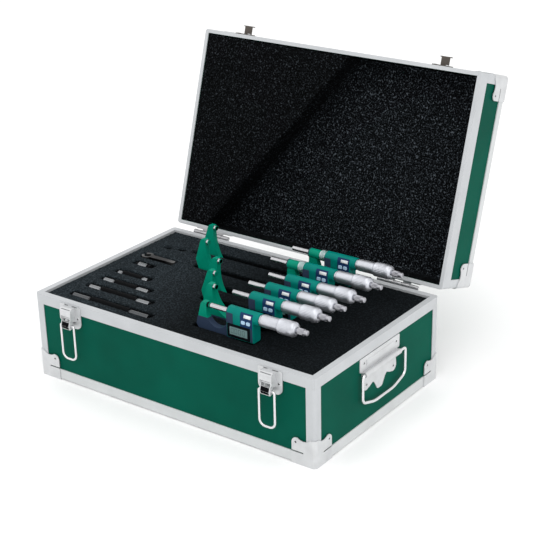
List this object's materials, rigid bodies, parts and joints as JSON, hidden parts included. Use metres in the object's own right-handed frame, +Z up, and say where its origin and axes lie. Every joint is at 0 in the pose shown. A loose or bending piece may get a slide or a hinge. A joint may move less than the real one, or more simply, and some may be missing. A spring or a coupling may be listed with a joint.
{
  "type": "micrometer case",
  "caption": "Aluminium-edged carrying case with hinged lid, wire latches and bail handles, holding micrometers, setting standards and a spanner in foam.",
  "frame": {"origin": "centre of the overall box with the lid open, on the ground under the corner caps", "axes": "+Z up, -Y towards the latches, +X to the right seen from the front"},
  "size_m": [0.4434, 0.4466, 0.3874],
  "materials": {
    "green_board": "fine-grained green laminate",
    "aluminium_edge": "satin anodised extrusion",
    "stamped_steel": "zinc-plated stamping",
    "bright_wire": "polished wire",
    "dark_foam": "open-cell charcoal foam",
    "green_enamel": "green enamel",
    "housing_plastic": "green moulded plastic",
    "ground_steel": "ground steel",
    "satin_chrome": "satin chrome",
    "standard_steel": "ground steel with black grips",
    "blackened_steel": "blackened steel"
  },
  "bodies": {
    "base": {"base_bottom_panel": "green_board", "base_long_panels": "green_board", "base_end_panels": "green_board", "base_rim": "aluminium_edge", "base_bottom_edging": "aluminium_edge", "base_corner_posts": "aluminium_edge", "base_corner_caps": "stamped_steel", "base_rivets": "stamped_steel", "tray_foam": "dark_foam", "base_hinge_leaves": "stamped_steel", "hinge_pins": "stamped_steel", "latch_plates": "stamped_steel", "handle_plates": "stamped_steel"},
    "lid": {"lid_top_panel": "green_board", "lid_long_panels": "green_board", "lid_end_panels": "green_board", "lid_rim": "aluminium_edge", "lid_top_edging": "aluminium_edge", "lid_corner_posts": "aluminium_edge", "lid_corner_caps": "stamped_steel", "lid_rivets": "stamped_steel", "lid_foam": "dark_foam", "lid_hinge_leaves": "stamped_steel", "latch_strikes": "stamped_steel"},
    "lever_left": {"latch_lever_left": "stamped_steel"},
    "loop_left": {"latch_loop_left": "bright_wire"},
    "lever_right": {"latch_lever_right": "stamped_steel"},
    "loop_right": {"latch_loop_right": "bright_wire"},
    "handle_left": {"handle_left": "bright_wire"},
    "handle_right": {"handle_right": "bright_wire"},
    "micrometer_1": {"micrometer_1_frame": "green_enamel", "micrometer_1_housing": "housing_plastic"},
    "micrometer_1_spindle": {"micrometer_1_spindle": "ground_steel"},
    "micrometer_1_thimble": {"micrometer_1_thimble": "satin_chrome"},
    "micrometer_2": {"micrometer_2_frame": "green_enamel", "micrometer_2_housing": "housing_plastic"},
    "micrometer_2_spindle": {"micrometer_2_spindle": "ground_steel"},
    "micrometer_2_thimble": {"micrometer_2_thimble": "satin_chrome"},
    "micrometer_3": {"micrometer_3_frame": "green_enamel", "micrometer_3_housing": "housing_plastic"},
    "micrometer_3_spindle": {"micrometer_3_spindle": "ground_steel"},
    "micrometer_3_thimble": {"micrometer_3_thimble": "satin_chrome"},
    "micrometer_4": {"micrometer_4_frame": "green_enamel", "micrometer_4_housing": "housing_plastic"},
    "micrometer_4_spindle": {"micrometer_4_spindle": "ground_steel"},
    "micrometer_4_thimble": {"micrometer_4_thimble": "satin_chrome"},
    "micrometer_5": {"micrometer_5_frame": "green_enamel", "micrometer_5_housing": "housing_plastic"},
    "micrometer_5_spindle": {"micrometer_5_spindle": "ground_steel"},
    "micrometer_5_thimble": {"micrometer_5_thimble": "satin_chrome"},
    "micrometer_6": {"micrometer_6_frame": "green_enamel", "micrometer_6_housing": "housing_plastic"},
    "micrometer_6_spindle": {"micrometer_6_spindle": "ground_steel"},
    "micrometer_6_thimble": {"micrometer_6_thimble": "satin_chrome"},
    "setting_standard_1": {"setting_standard_1": "standard_steel"},
    "setting_standard_2": {"setting_standard_2": "standard_steel"},
    "setting_standard_3": {"setting_standard_3": "standard_steel"},
    "setting_standard_4": {"setting_standard_4": "standard_steel"},
    "setting_standard_5": {"setting_standard_5": "standard_steel"},
    "spanner": {"spanner": "blackened_steel"}
  },
  "joints": [
    {"name": "lid_hinge", "type": "hinge", "parent": "base", "child": "lid", "pos_m": [0, 0.06766, 0.1143], "axis": [-1, 0, 0], "range_deg": [-107.3, 0]},
    {"name": "latch_lever_left_turn", "type": "hinge", "parent": "base", "child": "lever_left", "pos_m": [-0.1545, -0.21814, 0.0975], "axis": [-1, 0, 0], "range_deg": [0, 85]},
    {"name": "latch_loop_left_swing", "type": "hinge", "parent": "lever_left", "child": "loop_left", "pos_m": [-0.1545, -0.21894, 0.0877], "axis": [1, 0, 0], "range_deg": [-180, 0]},
    {"name": "latch_lever_right_turn", "type": "hinge", "parent": "base", "child": "lever_right", "pos_m": [0.1545, -0.21814, 0.0975], "axis": [-1, 0, 0], "range_deg": [0, 85]},
    {"name": "latch_loop_right_swing", "type": "hinge", "parent": "lever_right", "child": "loop_right", "pos_m": [0.1545, -0.21894, 0.0877], "axis": [1, 0, 0], "range_deg": [-180, 0]},
    {"name": "handle_left_swing", "type": "hinge", "parent": "base", "child": "handle_left", "pos_m": [-0.2183, -0.07014, 0.0791], "axis": [0, 1, 0], "range_deg": [0, 90]},
    {"name": "handle_right_swing", "type": "hinge", "parent": "base", "child": "handle_right", "pos_m": [0.2183, -0.07014, 0.0791], "axis": [0, -1, 0], "range_deg": [0, 90]},
    {"name": "micrometer_1_lift", "type": "slide", "parent": "base", "child": "micrometer_1", "axis": [0, 0, 1], "range_m": [0, 0.11]},
    {"name": "micrometer_1_spindle_feed", "type": "slide", "parent": "micrometer_1", "child": "micrometer_1_spindle", "axis": [1, 0, 0], "range_m": [-0.001, 0.024]},
    {"name": "micrometer_1_thimble_turn", "type": "hinge", "parent": "micrometer_1_spindle", "child": "micrometer_1_thimble", "pos_m": [0.11, -0.16494, 0.1422], "axis": [1, 0, 0], "range_deg": [-720.5, 17281]},
    {"name": "micrometer_2_lift", "type": "slide", "parent": "base", "child": "micrometer_2", "axis": [0, 0, 1], "range_m": [0, 0.11]},
    {"name": "micrometer_2_spindle_feed", "type": "slide", "parent": "micrometer_2", "child": "micrometer_2_spindle", "axis": [1, 0, 0], "range_m": [-0.001, 0.024]},
    {"name": "micrometer_2_thimble_turn", "type": "hinge", "parent": "micrometer_2_spindle", "child": "micrometer_2_thimble", "pos_m": [0.1185, -0.13224, 0.1497], "axis": [1, 0, 0], "range_deg": [-720.5, 17281]},
    {"name": "micrometer_3_lift", "type": "slide", "parent": "base", "child": "micrometer_3", "axis": [0, 0, 1], "range_m": [0, 0.11]},
    {"name": "micrometer_3_spindle_feed", "type": "slide", "parent": "micrometer_3", "child": "micrometer_3_spindle", "axis": [1, 0, 0], "range_m": [-0.001, 0.024]},
    {"name": "micrometer_3_thimble_turn", "type": "hinge", "parent": "micrometer_3_spindle", "child": "micrometer_3_thimble", "pos_m": [0.1181, -0.09994, 0.1497], "axis": [1, 0, 0], "range_deg": [-720.5, 17281]},
    {"name": "micrometer_4_lift", "type": "slide", "parent": "base", "child": "micrometer_4", "axis": [0, 0, 1], "range_m": [0, 0.11]},
    {"name": "micrometer_4_spindle_feed", "type": "slide", "parent": "micrometer_4", "child": "micrometer_4_spindle", "axis": [1, 0, 0], "range_m": [-0.001, 0.024]},
    {"name": "micrometer_4_thimble_turn", "type": "hinge", "parent": "micrometer_4_spindle", "child": "micrometer_4_thimble", "pos_m": [0.1232, -0.06614, 0.1497], "axis": [1, 0, 0], "range_deg": [-720.5, 17281]},
    {"name": "micrometer_5_lift", "type": "slide", "parent": "base", "child": "micrometer_5", "axis": [0, 0, 1], "range_m": [0, 0.11]},
    {"name": "micrometer_5_spindle_feed", "type": "slide", "parent": "micrometer_5", "child": "micrometer_5_spindle", "axis": [1, 0, 0], "range_m": [-0.001, 0.024]},
    {"name": "micrometer_5_thimble_turn", "type": "hinge", "parent": "micrometer_5_spindle", "child": "micrometer_5_thimble", "pos_m": [0.1202, -0.02394, 0.1497], "axis": [1, 0, 0], "range_deg": [-720.5, 17281]},
    {"name": "micrometer_6_lift", "type": "slide", "parent": "base", "child": "micrometer_6", "axis": [0, 0, 1], "range_m": [0, 0.11]},
    {"name": "micrometer_6_spindle_feed", "type": "slide", "parent": "micrometer_6", "child": "micrometer_6_spindle", "axis": [1, 0, 0], "range_m": [-0.001, 0.024]},
    {"name": "micrometer_6_thimble_turn", "type": "hinge", "parent": "micrometer_6_spindle", "child": "micrometer_6_thimble", "pos_m": [0.1218, 0.02136, 0.1497], "axis": [1, 0, 0], "range_deg": [-720.5, 17281]},
    {"name": "setting_standard_1_lift", "type": "slide", "parent": "base", "child": "setting_standard_1", "axis": [0, 0, 1], "range_m": [0, 0.1]},
    {"name": "setting_standard_2_lift", "type": "slide", "parent": "base", "child": "setting_standard_2", "axis": [0, 0, 1], "range_m": [0, 0.1]},
    {"name": "setting_standard_3_lift", "type": "slide", "parent": "base", "child": "setting_standard_3", "axis": [0, 0, 1], "range_m": [0, 0.1]},
    {"name": "setting_standard_4_lift", "type": "slide", "parent": "base", "child": "setting_standard_4", "axis": [0, 0, 1], "range_m": [0, 0.1]},
    {"name": "setting_standard_5_lift", "type": "slide", "parent": "base", "child": "setting_standard_5", "axis": [0, 0, 1], "range_m": [0, 0.1]},
    {"name": "spanner_lift", "type": "slide", "parent": "base", "child": "spanner", "axis": [0, 0, 1], "range_m": [0, 0.1]}
  ],
  "couplings": [
    {"joint": "micrometer_1_thimble_turn", "follows": "micrometer_1_spindle_feed", "rad_per_m": 12566},
    {"joint": "micrometer_2_thimble_turn", "follows": "micrometer_2_spindle_feed", "rad_per_m": 12566},
    {"joint": "micrometer_3_thimble_turn", "follows": "micrometer_3_spindle_feed", "rad_per_m": 12566},
    {"joint": "micrometer_4_thimble_turn", "follows": "micrometer_4_spindle_feed", "rad_per_m": 12566},
    {"joint": "micrometer_5_thimble_turn", "follows": "micrometer_5_spindle_feed", "rad_per_m": 12566},
    {"joint": "micrometer_6_thimble_turn", "follows": "micrometer_6_spindle_feed", "rad_per_m": 12566}
  ]
}
